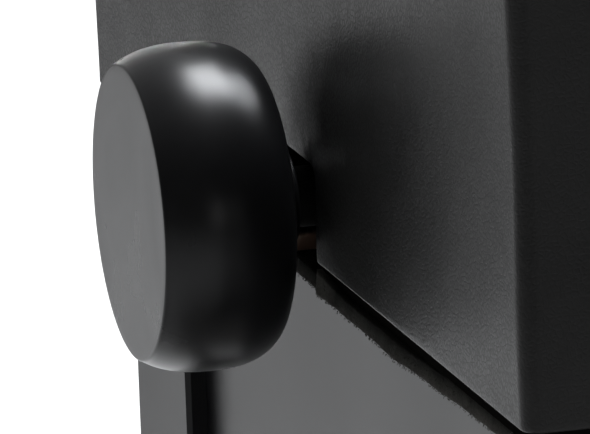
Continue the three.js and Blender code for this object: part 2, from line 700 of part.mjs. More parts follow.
function upholstery() {
  const shoulder = SEAM_HEIGHT + CUSHION_SHOULDER;
  const seamLine = SEAM_HEIGHT + GAP;
  const boardTop = SEAT_BOARD_BOTTOM + SEAT_BOARD;
  const outside = crownedBlock(HALF_LENGTH, HALF_WIDTH, seamLine, shoulder, SEAT_TOP);
  const hollow = crownedBlock(
    HALF_LENGTH - LEATHER,
    HALF_WIDTH - LEATHER,
    boardTop,
    shoulder - LEATHER / 2,
    SEAT_TOP - LEATHER,
  );
  piece("cover_top", cut(outside, hollow), LEATHERETTE);
  const foamInset = LEATHER + GAP + 0.1;
  const foam = crownedBlock(
    HALF_LENGTH - foamInset,
    HALF_WIDTH - foamInset,
    boardTop + GAP,
    shoulder - foamInset,
    SEAT_TOP - foamInset - GAP,
  );
  piece("foam_cushion", foam, FOAM);
  piece("cover_skirt", skirt(), LEATHERETTE);
}

legFrame();
feltStrips();
rails();
arms();
pivots();
nutBar();
bearings();
spindle();
knob("left", 0);
knob("right", Math.PI);
seatBox();
upholstery();

export default bench;
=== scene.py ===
"""Looks of the height-adjustable piano bench: leatherette seat box, polished frame, knobs and screw lift.

Everything is in metres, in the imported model's frame: +X along the bench, +Y to its rear, +Z up.
"""

import json
import math
import random

import bmesh
import bpy
from mathutils import Matrix, Vector, noise

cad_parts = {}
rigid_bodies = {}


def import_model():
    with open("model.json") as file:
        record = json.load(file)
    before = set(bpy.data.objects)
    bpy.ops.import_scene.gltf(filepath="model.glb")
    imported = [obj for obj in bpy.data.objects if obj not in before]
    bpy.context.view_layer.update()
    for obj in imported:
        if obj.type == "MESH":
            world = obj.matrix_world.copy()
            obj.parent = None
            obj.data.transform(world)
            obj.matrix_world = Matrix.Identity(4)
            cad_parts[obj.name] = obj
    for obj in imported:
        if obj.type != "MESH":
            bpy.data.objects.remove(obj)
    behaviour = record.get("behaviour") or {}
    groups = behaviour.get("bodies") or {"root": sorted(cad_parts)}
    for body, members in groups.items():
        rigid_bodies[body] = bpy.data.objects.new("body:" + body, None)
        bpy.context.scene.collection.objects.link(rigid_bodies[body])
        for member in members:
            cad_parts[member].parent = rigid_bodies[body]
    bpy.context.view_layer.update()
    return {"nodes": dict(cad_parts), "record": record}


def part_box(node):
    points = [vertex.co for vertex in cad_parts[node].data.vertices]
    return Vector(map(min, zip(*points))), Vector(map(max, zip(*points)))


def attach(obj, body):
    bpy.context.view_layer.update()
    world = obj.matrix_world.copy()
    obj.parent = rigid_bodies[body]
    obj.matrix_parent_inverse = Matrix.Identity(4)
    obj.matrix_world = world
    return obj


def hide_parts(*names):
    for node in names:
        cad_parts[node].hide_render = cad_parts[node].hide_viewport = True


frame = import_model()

MM = 0.001
random.seed(7)

# ---- sizes read from the frame ----


def corners(node):
    low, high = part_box(node)
    return Vector(low), Vector(high)


SKIRT_LOW, SKIRT_HIGH = corners("cover_skirt")
COVER_HIGH = corners("cover_top")[1]
SPINDLE_END = corners("spindle")[1].x
KNOB_LOW, KNOB_HIGH = corners("knob_left")
BOARD_TOP = corners("seat_board")[1].z
SIDE_LOW, SIDE_HIGH = corners("side_board_front")
FELT_BOTTOM = corners("felt_strip_left")[0].z
AXIS_Z = (KNOB_LOW.z + KNOB_HIGH.z) / 2

# The notch through which the shaft leaves the seat box is wider in the leatherette than in its board.
NOTCH_HALF = 13.6 * MM
NOTCH_TOP = AXIS_Z + 9 * MM
NOTCH_CORNER = 4 * MM
BOARD_NOTCH_HALF = 10.2 * MM
SKIRT_CORNER = 4 * MM
CREASE_ANGLE = math.radians(32)

# ---- mesh helpers ----


def add_object(name, mesh, smooth=True):
    for polygon in mesh.polygons:
        polygon.use_smooth = smooth
    made = bpy.data.objects.new(name, mesh)
    bpy.context.scene.collection.objects.link(made)
    return made


def mesh_object(name, vertices, faces, smooth=True):
    mesh = bpy.data.meshes.new(name)
    mesh.from_pydata(vertices, [], faces)
    mesh.update()
    return add_object(name, mesh, smooth)


def from_bmesh(name, shape):
    mesh = bpy.data.meshes.new(name)
    shape.to_mesh(mesh)
    shape.free()
    return add_object(name, mesh)


def bezier(points, steps):
    """Points along a quadratic or cubic Bezier curve, without its first point."""
    made = []
    for i in range(1, steps + 1):
        t = i / steps
        level = [Vector(p) for p in points]
        while len(level) > 1:
            level = [a.lerp(b, t) for a, b in zip(level, level[1:])]
        made.append(tuple(level[0]))
    return made


def turned(name, profile, sides, place):
    """A closed turned piece.

    profile runs from axis to axis as (station, radius), and place maps it to the frame.
    """
    vertices = []
    rings = []
    for station, radius in profile:
        if radius == 0:
            rings.append([len(vertices)])
            vertices.append(place @ Vector((station, 0, 0)))
            continue
        rings.append(list(range(len(vertices), len(vertices) + sides)))
        for k in range(sides):
            angle = 2 * math.pi * k / sides
            vertices.append(place @ Vector((station, radius * math.cos(angle), radius * math.sin(angle))))
    faces = []
    for a, b in zip(rings, rings[1:]):
        for k in range(sides):
            n = (k + 1) % sides
            corners_of_face = [a[k % len(a)], a[n % len(a)], b[n % len(b)], b[k % len(b)]]
            face = list(dict.fromkeys(corners_of_face))
            if len(face) > 2:
                faces.append(face)
    return mesh_object(name, vertices, faces)


def add_modifier(piece, name, kind, **settings):
    modifier = piece.modifiers.new(name, kind)
    for key, value in settings.items():
        setattr(modifier, key, value)


def apply_modifiers(piece):
    """Replaces the piece's mesh by its modified one."""
    graph = bpy.context.evaluated_depsgraph_get()
    mesh = bpy.data.meshes.new_from_object(piece.evaluated_get(graph))
    piece.modifiers.clear()
    piece.data = mesh


def smooth_by_angle():
    """Geometry nodes that shade a faceted piece smooth, except across its creases."""
    group = bpy.data.node_groups.new("smooth_by_angle", "GeometryNodeTree")
    group.interface.new_socket("Geometry", in_out="INPUT", socket_type="NodeSocketGeometry")
    group.interface.new_socket("Geometry", in_out="OUTPUT", socket_type="NodeSocketGeometry")
    nodes = group.nodes
    start = nodes.new("NodeGroupInput")
    end = nodes.new("NodeGroupOutput")
    all_smooth = nodes.new("GeometryNodeSetShadeSmooth")
    sharp_edges = nodes.new("GeometryNodeSetShadeSmooth")
    sharp_edges.domain = "EDGE"
    sharp_edges.inputs["Shade Smooth"].default_value = False
    angle = nodes.new("GeometryNodeInputMeshEdgeAngle")
    compare = nodes.new("FunctionNodeCompare")
    compare.operation = "GREATER_THAN"
    compare.inputs[1].default_value = CREASE_ANGLE
    link = group.links.new
    link(start.outputs[0], all_smooth.inputs["Geometry"])
    link(all_smooth.outputs[0], sharp_edges.inputs["Geometry"])
    link(angle.outputs["Unsigned Angle"], compare.inputs[0])
    link(compare.outputs[0], sharp_edges.inputs["Selection"])
    link(sharp_edges.outputs[0], end.inputs[0])
    return group


SMOOTH = smooth_by_angle()


def ease_edges(node, width):
    """Rounds a CAD node's sharp edges with modifiers, so they catch the light."""
    piece = frame["nodes"][node]
    rounding = {"width": width, "segments": 3, "limit_method": "ANGLE", "angle_limit": CREASE_ANGLE}
    add_modifier(piece, "eased", "BEVEL", **rounding)
    add_modifier(piece, "smoothed", "NODES", node_group=SMOOTH)


# ---- materials ----


class Finish:
    """A node material for one kind of surface, built from short chains of nodes."""

    def __init__(self, name, roughness, metallic=0.0, ior=1.5):
        self.material = bpy.data.materials.new(name)
        self.material.use_nodes = True
        self.nodes = self.material.node_tree.nodes
        self.link = self.material.node_tree.links.new
        self.shader = self.nodes["Principled BSDF"]
        self.shader.inputs["Metallic"].default_value = metallic
        self.shader.inputs["Roughness"].default_value = roughness
        self.shader.inputs["IOR"].default_value = ior
        self.place = self.nodes.new("ShaderNodeTexCoord").outputs["Object"]
        self.normal = None

    def stretched(self, scale):
        mapping = self.nodes.new("ShaderNodeMapping")
        mapping.inputs["Scale"].default_value = scale
        self.link(self.place, mapping.inputs["Vector"])
        return mapping.outputs["Vector"]

    def noise(self, scale, detail=3.0, roughness=0.55, stretch=None, warp=0.0):
        texture = self.nodes.new("ShaderNodeTexNoise")
        texture.inputs["Scale"].default_value = scale
        texture.inputs["Detail"].default_value = detail
        texture.inputs["Roughness"].default_value = roughness
        texture.inputs["Distortion"].default_value = warp
        self.link(self.stretched(stretch) if stretch else self.place, texture.inputs["Vector"])
        return texture.outputs["Fac"]

    def cells(self, scale):
        """Distance to the nearest edge between irregular cells."""
        texture = self.nodes.new("ShaderNodeTexVoronoi")
        texture.feature = "DISTANCE_TO_EDGE"
        texture.inputs["Scale"].default_value = scale
        self.link(self.place, texture.inputs["Vector"])
        return texture.outputs["Distance"]

    def level(self, value, low, high, to_low, to_high):
        """Maps the span from low to high to the span from to_low to to_high, and stops at its ends."""
        mapped = self.nodes.new("ShaderNodeMapRange")
        for socket, number in zip(mapped.inputs[1:5], (low, high, to_low, to_high)):
            socket.default_value = number
        self.link(value, mapped.inputs[0])
        return mapped.outputs[0]

    def combine(self, operation, a, b):
        step = self.nodes.new("ShaderNodeMath")
        step.operation = operation
        for socket, value in zip(step.inputs, (a, b)):
            if isinstance(value, (int, float)):
                socket.default_value = value
            else:
                self.link(value, socket)
        return step.outputs[0]

    def ramp(self, value, *stops):
        ramp = self.nodes.new("ShaderNodeValToRGB")
        elements = ramp.color_ramp.elements
        while len(elements) < len(stops):
            elements.new(0.5)
        for element, (position, colour) in zip(elements, stops):
            element.position = position
            element.color = (*colour, 1)
        self.link(value, ramp.inputs["Fac"])
        return ramp.outputs["Color"]

    def mix(self, factor, a, b):
        mixed = self.nodes.new("ShaderNodeMix")
        mixed.data_type = "RGBA"
        self.link(factor, mixed.inputs[0])
        for socket, value in zip(mixed.inputs[6:8], (a, b)):
            if isinstance(value, tuple):
                socket.default_value = (*value, 1)
            else:
                self.link(value, socket)
        return mixed.outputs[2]

    def colour(self, value):
        self.link(value, self.shader.inputs["Base Color"])

    def roughness(self, value):
        self.link(value, self.shader.inputs["Roughness"])

    def bump(self, height, distance, strength=1.0):
        bump = self.nodes.new("ShaderNodeBump")
        bump.inputs["Strength"].default_value = strength
        bump.inputs["Distance"].default_value = distance
        self.link(height, bump.inputs["Height"])
        if self.normal:
            self.link(self.normal, bump.inputs["Normal"])
        self.normal = bump.outputs["Normal"]
        self.link(self.normal, self.shader.inputs["Normal"])

    def coordinate(self, axis):
        split = self.nodes.new("ShaderNodeSeparateXYZ")
        self.link(self.place, split.inputs[0])
        return split.outputs[axis]

    def from_middle(self, axis):
        return self.combine("ABSOLUTE", self.coordinate(axis), 0.0)

    def specular(self, level):
        self.shader.inputs["Specular IOR Level"].default_value = level

    def facing_up(self):
        """1 on faces that look up, 0 on the rest."""
        geometry = self.nodes.new("ShaderNodeNewGeometry")
        split = self.nodes.new("ShaderNodeSeparateXYZ")
        self.link(geometry.outputs["Normal"], split.inputs[0])
        return self.level(split.outputs["Z"], 0.9, 0.97, 0, 1)


def leatherette():
    finish = Finish("black_leatherette", 0.4, ior=1.27)
    grain = finish.cells(900)
    fine = finish.noise(2600, 3)
    broad = finish.noise(26, 4)
    pebble = finish.level(grain, 0.0, 0.22, 0.0, 1.0)
    finish.colour(finish.ramp(broad, (0.3, (0.007, 0.007, 0.0068)), (0.7, (0.012, 0.012, 0.0115))))
    grooves = finish.level(pebble, 0, 1, 0.1, 0.0)
    sheen = finish.level(broad, 0.3, 0.7, 0.28, 0.35)
    finish.roughness(finish.combine("ADD", grooves, sheen))
    finish.bump(finish.noise(140, 3), 0.25 * MM, 0.5)
    finish.bump(pebble, 0.035 * MM, 0.7)
    finish.bump(fine, 0.018 * MM, 0.6)
    return finish.material


def black_lacquer():
    """Satin lacquer on the outside, raw wood on the frame's upper faces, which the felt and seat cover."""
    finish = Finish("black_lacquer", 0.27, ior=1.27)
    raw = finish.facing_up()
    grain = finish.noise(60, 4, stretch=(1, 1, 0.15), warp=1.2)
    wood = finish.ramp(grain, (0.35, (0.075, 0.036, 0.022)), (0.65, (0.13, 0.066, 0.04)))
    haze = finish.noise(9, 3)
    lacquer = finish.ramp(haze, (0.3, (0.0035, 0.0035, 0.004)), (0.7, (0.006, 0.006, 0.0065)))
    finish.colour(finish.mix(raw, lacquer, wood))
    polished = finish.level(haze, 0.35, 0.65, 0.31, 0.34)
    finish.roughness(finish.combine("MAXIMUM", polished, finish.level(raw, 0, 1, 0, 0.75)))
    finish.bump(finish.noise(90, 2), 0.02 * MM, 0.3)
    return finish.material


def black_felt():
    """Black wool with painted light: a lighter colour along its lower edge towards the legs and on its
    side beside the notch, where the felt catches light.
    """
    finish = Finish("black_felt", 0.95, ior=1.3)
    tufts = finish.noise(900, 5, 0.7, warp=2.0)
    patches = finish.noise(120, 3)
    mixed = finish.combine("MULTIPLY", tufts, finish.level(patches, 0.3, 0.7, 0.7, 1.25))
    wool = finish.ramp(mixed, (0.3, (0.005, 0.005, 0.0045)), (0.72, (0.018, 0.0175, 0.0155)))
    # painted light: this lighter wool colour stands for light caught by the felt, not for dust
    painted_light_wool = finish.ramp(mixed, (0.3, (0.07, 0.068, 0.061)), (0.72, (0.14, 0.137, 0.124)))
    from_centre = finish.from_middle("Y")
    low_edge = finish.level(finish.coordinate("Z"), FELT_BOTTOM + 3 * MM, FELT_BOTTOM - 0.3 * MM, 0, 1)
    near_leg = finish.level(from_centre, 50 * MM, 135 * MM, 0.32, 0.6)
    past_edge = finish.level(from_centre, BOARD_NOTCH_HALF, BOARD_NOTCH_HALF + 0.8 * MM, 0, 1)
    near_notch = finish.level(from_centre, 14 * MM, 26 * MM, 0.9, 0)
    # painted light along the lower edge near the legs and on the side beside the notch
    painted_light_low = finish.combine("MULTIPLY", low_edge, near_leg)
    painted_light_side = finish.combine("MULTIPLY", past_edge, near_notch)
    finish.colour(finish.mix(finish.combine("MAXIMUM", painted_light_low, painted_light_side), wool, painted_light_wool))
    finish.bump(tufts, 0.35 * MM)
    finish.specular(0.05)
    return finish.material


def knob_plastic():
    finish = Finish("knob_plastic", 0.3, ior=1.3)
    cloud = finish.noise(70, 3)
    handled = finish.noise(28, 4, warp=1.0)
    finish.colour(finish.ramp(cloud, (0.3, (0.0045, 0.0045, 0.005)), (0.7, (0.0075, 0.0075, 0.008))))
    finish.roughness(finish.level(handled, 0.35, 0.7, 0.27, 0.31))
    finish.bump(finish.noise(60, 2), 0.02 * MM, 0.2)
    return finish.material


def wood(name, dark, light, scale, roughness):
    finish = Finish(name, roughness)
    grain = finish.noise(scale, 5, stretch=(0.12, 1, 1), warp=1.5)
    pores = finish.noise(scale * 12, 2, stretch=(0.05, 1, 1))
    finish.colour(finish.ramp(grain, (0.3, dark), (0.7, light)))
    finish.roughness(finish.level(pores, 0.3, 0.7, roughness - 0.1, roughness + 0.1))
    finish.bump(pores, 0.15 * MM, 0.6)
    return finish


def plywood():
    """Raw plywood, stained black by hand on the outside of the seat box, where the black is also painted
    shade under the leatherette's hem; in its notches painted shade blackens the wood above the lit lower
    corner.
    """
    finish = wood("birch_plywood", (0.5, 0.35, 0.265), (0.66, 0.48, 0.37), 70, 0.7)
    raw = finish.shader.inputs["Base Color"].links[0].from_socket
    height = finish.coordinate("Z")
    shade_edge_noise = finish.level(finish.noise(260, 3), 0.3, 0.7, -0.6 * MM, 0.6 * MM)

    def beyond(value, limit, soft=0.1 * MM):
        return finish.level(value, limit - soft, limit + soft, 0, 1)

    along = finish.from_middle("X")
    across = finish.from_middle("Y")
    outer_skin = 0.3 * MM
    end_board = beyond(along, SIDE_HIGH.x - 13 * MM)
    outer_ends = beyond(along, SIDE_HIGH.x - outer_skin)
    outer_sides = beyond(across, abs(SIDE_LOW.y) - outer_skin)
    # painted shade: the notch cheeks are painted black from just above their lower corner up to the
    # notch's top, with a ragged lower edge
    in_notch = finish.combine("SUBTRACT", 1.0, beyond(across, BOARD_NOTCH_HALF + outer_skin))
    above_corner = beyond(finish.combine("ADD", height, shade_edge_noise), SIDE_LOW.z + 3.3 * MM, 0.7 * MM)
    below_top = finish.combine("SUBTRACT", 1.0, beyond(height, NOTCH_TOP))
    notch_shade_width = finish.combine("MULTIPLY", in_notch, end_board)
    notch_shade_height = finish.combine("MULTIPLY", above_corner, below_top)
    notch_painted_shade = finish.combine("MULTIPLY", notch_shade_width, notch_shade_height)
    stain_and_painted_shade = finish.combine("MAXIMUM", finish.combine("MAXIMUM", outer_ends, outer_sides), notch_painted_shade)
    # near-black colour: stain and painted shade on the outer faces, painted shade alone in the notches
    finish.colour(finish.mix(stain_and_painted_shade, raw, (0.004, 0.0038, 0.0035)))
    finish.specular(0.0)
    layers = finish.nodes.new("ShaderNodeTexWave")
    layers.bands_direction = "Z"
    layers.inputs["Scale"].default_value = 105
    layers.inputs["Distortion"].default_value = 0.4
    finish.link(finish.place, layers.inputs["Vector"])
    finish.bump(layers.outputs["Fac"], 0.1 * MM, 0.3)
    return finish.material


def beech():
    return wood("raw_beech", (0.46, 0.27, 0.14), (0.62, 0.42, 0.25), 55, 0.62).material


def black_steel():
    finish = Finish("black_powder_coat", 0.5, ior=1.45)
    peel = finish.noise(700, 3)
    cloud = finish.noise(35, 4)
    finish.colour(finish.ramp(cloud, (0.3, (0.012, 0.012, 0.013)), (0.7, (0.024, 0.024, 0.026))))
    finish.roughness(finish.level(peel, 0.3, 0.7, 0.38, 0.55))
    finish.bump(peel, 0.08 * MM, 0.7)
    return finish.material


def zinc_steel():
    finish = Finish("zinc_plated_steel", 0.3, metallic=1.0)
    turned_marks = finish.noise(1600, 3, stretch=(1, 0.1, 1))
    tarnish = finish.noise(40, 4)
    finish.colour(finish.ramp(tarnish, (0.3, (0.42, 0.42, 0.4)), (0.7, (0.62, 0.62, 0.61))))
    finish.roughness(finish.level(turned_marks, 0.3, 0.7, 0.24, 0.42))
    finish.bump(turned_marks, 0.02 * MM, 0.5)
    return finish.material


def blackened_steel():
    finish = Finish("blackened_steel", 0.5, ior=1.3)
    finish.specular(0.15)
    turned_marks = finish.noise(1600, 3, stretch=(1, 0.1, 0.1))
    oiled = finish.noise(60, 4)
    finish.colour(finish.ramp(oiled, (0.3, (0.003, 0.003, 0.003)), (0.7, (0.008, 0.0078, 0.0075))))
    finish.roughness(finish.level(turned_marks, 0.3, 0.7, 0.42, 0.58))
    finish.bump(turned_marks, 0.02 * MM, 0.5)
    return finish.material


def bronze():
    finish = Finish("machined_bronze", 0.35, metallic=1.0)
    cut_marks = finish.noise(1400, 3, stretch=(1, 0.1, 0.1))
    finish.colour(finish.ramp(finish.noise(60, 3), (0.3, (0.36, 0.22, 0.09)), (0.7, (0.55, 0.37, 0.17))))
    finish.roughness(finish.level(cut_marks, 0.3, 0.7, 0.28, 0.45))
    finish.bump(cut_marks, 0.02 * MM, 0.5)
    return finish.material


def moulded(name, dark, light, roughness):
    finish = Finish(name, roughness, ior=1.45)
    cloud = finish.noise(90, 3)
    finish.colour(finish.ramp(cloud, (0.3, dark), (0.7, light)))
    finish.roughness(finish.level(finish.noise(500, 3), 0.3, 0.7, roughness - 0.08, roughness + 0.08))
    finish.bump(finish.noise(900, 2), 0.04 * MM, 0.5)
    return finish.material


FINISHES = {
    "black_lacquer": black_lacquer(),
    "leatherette": leatherette(),
    "felt": black_felt(),
    "knob_plastic": knob_plastic(),
    "plywood": plywood(),
    "beech": beech(),
    "foam": moulded("upholstery_foam", (0.6, 0.54, 0.38), (0.72, 0.66, 0.5), 0.9),
    "black_steel": black_steel(),
    "zinc_steel": zinc_steel(),
    "blackened_steel": blackened_steel(),
    "bronze": bronze(),
    "nylon": moulded("natural_nylon", (0.66, 0.64, 0.57), (0.76, 0.74, 0.68), 0.45),
    "glide_plastic": moulded("glide_polyethylene", (0.012, 0.012, 0.012), (0.02, 0.02, 0.02), 0.5),
}


def dress(piece, body, slot, *nodes):
    """Gives a new piece its material slot, its body and the CAD nodes that it stands for."""
    piece.data.materials.clear()
    piece.data.materials.append(FINISHES[slot])
    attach(piece, body)
    if nodes:
        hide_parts(*nodes)
    return piece


def carried_nodes():
    """Gives every CAD node its slot's material and eased edges; new pieces replace some of them later."""
    easing = {"black_lacquer": 0.35 * MM, "plywood": 0.4 * MM, "beech": 0.6 * MM, "black_steel": 0.4 * MM}
    other_easing = 0.25 * MM
    for entry in frame["record"]["subparts"]:
        piece = frame["nodes"][entry["node"]]
        slot = entry["material_slot"]
        piece.data.materials.clear()
        piece.data.materials.append(FINISHES[slot])
        ease_edges(entry["node"], easing.get(slot, other_easing))


# ---- leatherette seat box ----


def notch_distance(y, z):
    """Signed distance to the notch's outline (negative inside) and the way out of it."""
    across = abs(y) - (NOTCH_HALF - NOTCH_CORNER)
    above = z - (NOTCH_TOP - NOTCH_CORNER)
    side = 1 if y > 0 else -1
    if across > 0 and above > 0:
        reach = math.hypot(across, above)
        return reach - NOTCH_CORNER, (side * across / reach, above / reach)
    if across > above:
        return across - NOTCH_CORNER, (side, 0)
    return above - NOTCH_CORNER, (0, 1)


def spaced(start, end, coarse, fine=None, fine_half=0.0):
    """Stations from start to end, finer where the station is within fine_half of zero."""
    stations = [start]
    sign = 1 if end > start else -1
    while (end - stations[-1]) * sign > 1e-9:
        here = stations[-1]
        step = fine if fine and abs(here) < fine_half else coarse
        stations.append(here + sign * min(step, abs(end - here)))
    return stations


def skirt_path():
    """Stations round the seat box as (point, outward normal, on a corner), closer beside the notches."""
    half_x = SKIRT_HIGH.x - SKIRT_CORNER
    half_y = SKIRT_HIGH.y - SKIRT_CORNER
    corner_steps = 8
    path = []

    def corner(x, y, start):
        for k in range(1, corner_steps):
            angle = math.radians(start + 90 * k / corner_steps)
            normal = Vector((math.cos(angle), math.sin(angle), 0))
            path.append((Vector((x, y, 0)) + normal * SKIRT_CORNER, normal, True))

    end_stations = spaced(half_y, -half_y, 2 * MM, 0.8 * MM, 24 * MM)
    for y in end_stations:
        path.append((Vector((SKIRT_LOW.x, y, 0)), Vector((-1, 0, 0)), False))
    corner(-half_x, -half_y, 180)
    for x in spaced(-half_x, half_x, 6 * MM):
        path.append((Vector((x, SKIRT_LOW.y, 0)), Vector((0, -1, 0)), False))
    corner(half_x, -half_y, 270)
    for y in reversed(end_stations):
        path.append((Vector((SKIRT_HIGH.x, y, 0)), Vector((1, 0, 0)), False))
    corner(half_x, half_y, 0)
    for x in spaced(half_x, -half_x, 6 * MM):
        path.append((Vector((x, SKIRT_HIGH.y, 0)), Vector((0, 1, 0)), False))
    corner(-half_x, half_y, 90)
    return path


def skirt_rows():
    """The skirt's section as (offset, height): behind its hem, round the lower edge, up to the seam."""
    fold = 0.65 * MM
    top = 2.6 * MM
    fold_steps = 8
    top_steps = 4
    rows = [(-2 * fold, SKIRT_LOW.z + 5 * MM), (-2 * fold, SKIRT_LOW.z + 2 * MM)]
    for k in range(fold_steps + 1):
        angle = math.radians(180 * k / fold_steps - 90)
        rows.append((-fold + fold * math.sin(angle), SKIRT_LOW.z + fold - fold * math.cos(angle)))
    face_high = SKIRT_HIGH.z - top
    for z in spaced(SKIRT_LOW.z + fold, face_high, 1.1 * MM)[1:]:
        rows.append((0.0, z))
    for k in range(1, top_steps + 1):
        angle = math.radians(80 * k / top_steps)
        rows.append((-top + top * math.cos(angle), face_high + top * math.sin(angle)))
    return rows


def skirt_swell(point, normal):
    """How far the soft skirt stands off its boards: tight at the hem, a little loose above it."""
    height = point.z - SKIRT_LOW.z
    tight_height = 16 * MM
    slack = 1 - math.exp(-((height / tight_height) ** 2))
    loose = 0.5 * noise.noise(Vector((point.x * 14, point.y * 14, point.z * 20)))
    ripple = 0.1 * noise.noise(point * 55)
    swell = (loose + 0.15) * slack + ripple * (0.3 + slack)
    if abs(normal.x) > 0.99:
        gap, _ = notch_distance(point.y, point.z)
        outside = max(gap, 0)
        pinch_reach = 5 * MM
        pucker_reach = 9 * MM
        puckers = 9
        near = math.exp(-outside / pinch_reach)
        pull = math.sin(math.atan2(point.z - NOTCH_TOP + 4 * MM, abs(point.y) - 10 * MM) * puckers)
        swell += -0.45 * near * slack + 0.06 * pull * math.exp(-outside / pucker_reach)
    return swell * MM


def skirt_cover():
    shape = bmesh.new()
    path = skirt_path()
    rows = skirt_rows()
    grid = []
    for point, normal, on_corner in path:
        column = []
        for offset, z in rows:
            reach = max(offset, -0.8 * SKIRT_CORNER) if on_corner else offset
            place = point + normal * reach
            place.z = z
            place += normal * skirt_swell(place, normal)
            column.append(shape.verts.new(place))
        grid.append(column)
    for i, column in enumerate(grid):
        following = grid[(i + 1) % len(grid)]
        for j in range(len(rows) - 1):
            shape.faces.new((column[j], following[j], following[j + 1], column[j + 1]))
    seam_allowance(shape, [column[-1] for column in grid])
    open_notches(shape)
    bmesh.ops.recalc_face_normals(shape, faces=shape.faces)
    return dress(from_bmesh("leatherette_skirt", shape), "seat", "leatherette", "cover_skirt")


def seam_allowance(shape, rim):
    """Carries the skirt's top edge inwards, flat on the boards, as far as it reaches under the cushion."""
    allowance = 18 * MM
    reach_x = SKIRT_HIGH.x - allowance
    reach_y = SKIRT_HIGH.y - allowance
    inner = []
    for vertex in rim:
        x = min(reach_x, max(-reach_x, vertex.co.x))
        y = min(reach_y, max(-reach_y, vertex.co.y))
        inner.append(shape.verts.new((x, y, vertex.co.z)))
    for i, vertex in enumerate(rim):
        n = (i + 1) % len(rim)
        shape.faces.new((vertex, rim[n], inner[n], inner[i]))
    bmesh.ops.remove_doubles(shape, verts=inner, dist=0.01 * MM)


def open_notches(shape):
    """Cuts the notch in both ends and folds the leatherette in round its edge."""
    end_face = SKIRT_HIGH.x - 14 * MM
    beside = NOTCH_HALF + 9 * MM
    on_end = [v for v in shape.verts if abs(v.co.x) > end_face and abs(v.co.y) < beside]
    inside = {v for v in on_end if notch_distance(v.co.y, v.co.z)[0] < 0}
    doomed = [f for f in shape.faces if all(v in inside for v in f.verts)]
    bmesh.ops.delete(shape, geom=doomed, context="FACES")
    rim = set()
    for vertex in [v for v in shape.verts if v.is_valid and v in inside]:
        gap, (out_y, out_z) = notch_distance(vertex.co.y, vertex.co.z)
        vertex.co.y -= gap * out_y
        vertex.co.z -= gap * out_z
        rim.add(vertex)
    edges = [e for e in shape.edges if e.is_boundary and e.verts[0] in rim and e.verts[1] in rim]
    folds = ((0.08, 0.3), (0.25, 0.22), (0.35, 0.08), (0.3, -0.05), (0.25, -0.2))
    for depth, lateral in folds:
        made = bmesh.ops.extrude_edge_only(shape, edges=edges)["geom"]
        for vertex in [g for g in made if isinstance(g, bmesh.types.BMVert)]:
            _, (out_y, out_z) = notch_distance(vertex.co.y, vertex.co.z)
            inward = -1 if vertex.co.x > 0 else 1
            vertex.co.x += inward * depth * MM
            vertex.co.y -= lateral * MM * out_y
            vertex.co.z -= lateral * MM * out_z
        edges = [g for g in made if isinstance(g, bmesh.types.BMEdge)]


# ---- cushion ----


def cushion_block(half_x, half_y, bottom, shoulder, crown):
    """A crowned block with rounded upright corners, slightly smaller than the finished pad."""
    shape = bmesh.new()
    columns, rows = 40, 26
    grid = {}

    def swell(t):
        return (1 - abs(t) ** 4) ** 0.45

    for j in range(rows + 1):
        for i in range(columns + 1):
            u = math.sin(math.pi / 2 * (2 * i / columns - 1))
            v = math.sin(math.pi / 2 * (2 * j / rows - 1))
            corner_pull = 1 - 0.012 * (u * v) ** 6
            z = shoulder + (crown - shoulder) * swell(u) * swell(v)
            grid[i, j] = shape.verts.new((u * half_x * corner_pull, v * half_y * corner_pull, z))
    for j in range(rows):
        for i in range(columns):
            shape.faces.new((grid[i, j], grid[i + 1, j], grid[i + 1, j + 1], grid[i, j + 1]))
    rim = [e for e in shape.edges if e.is_boundary]
    lowered = bmesh.ops.extrude_edge_only(shape, edges=rim)["geom"]
    base = [g for g in lowered if isinstance(g, bmesh.types.BMVert)]
    for vertex in base:
        vertex.co.z = bottom
    base_edges = [g for g in lowered if isinstance(g, bmesh.types.BMEdge)]
    bmesh.ops.contextual_create(shape, geom=base_edges)
    bmesh.ops.recalc_face_normals(shape, faces=shape.faces)
    return from_bmesh("cushion", shape)


def swell_cushion(piece, cap, pinned_below):
    """Inflates the pad with cloth, then limits how far each point may have moved."""
    last_step = 20
    rest = [v.co.copy() for v in piece.data.vertices]
    pins = piece.vertex_groups.new(name="pinned")
    pins.add([v.index for v in piece.data.vertices if v.co.z < pinned_below], 1.0, "REPLACE")
    cloth = piece.modifiers.new("cloth", "CLOTH")
    cloth.settings.use_pressure = True
    cloth.settings.uniform_pressure_force = 4
    cloth.settings.vertex_group_mass = "pinned"
    cloth.settings.effector_weights.gravity = 0
    cloth.point_cache.frame_start = 1
    cloth.point_cache.frame_end = last_step
    for step in range(1, last_step + 1):
        bpy.context.scene.frame_set(step)
    apply_modifiers(piece)
    bpy.context.scene.frame_set(1)
    for vertex, start in zip(piece.data.vertices, rest):
        moved = vertex.co - start
        if moved.length > cap:
            vertex.co = start + moved.normalized() * cap


def cushion():
    """The padded top: a crowned block, remeshed, inflated and smoothed."""
    seam = SKIRT_HIGH.z
    inset = 0.8 * MM
    half_x = COVER_HIGH.x - inset
    half_y = COVER_HIGH.y - inset
    piece = cushion_block(half_x, half_y, BOARD_TOP + 1 * MM, seam + 6 * MM, COVER_HIGH.z - 6 * MM)
    add_modifier(piece, "remesh", "REMESH", mode="VOXEL", voxel_size=6 * MM)
    apply_modifiers(piece)
    swell_cushion(piece, 5 * MM, seam + 1 * MM)
    add_modifier(piece, "relaxed", "SMOOTH", factor=0.5, iterations=4)
    add_modifier(piece, "fine", "SUBSURF", levels=1, render_levels=1)
    apply_modifiers(piece)
    for polygon in piece.data.polygons:
        polygon.use_smooth = True
    dress(piece, "seat", "leatherette", "foam_cushion", "cover_top")
    return piece


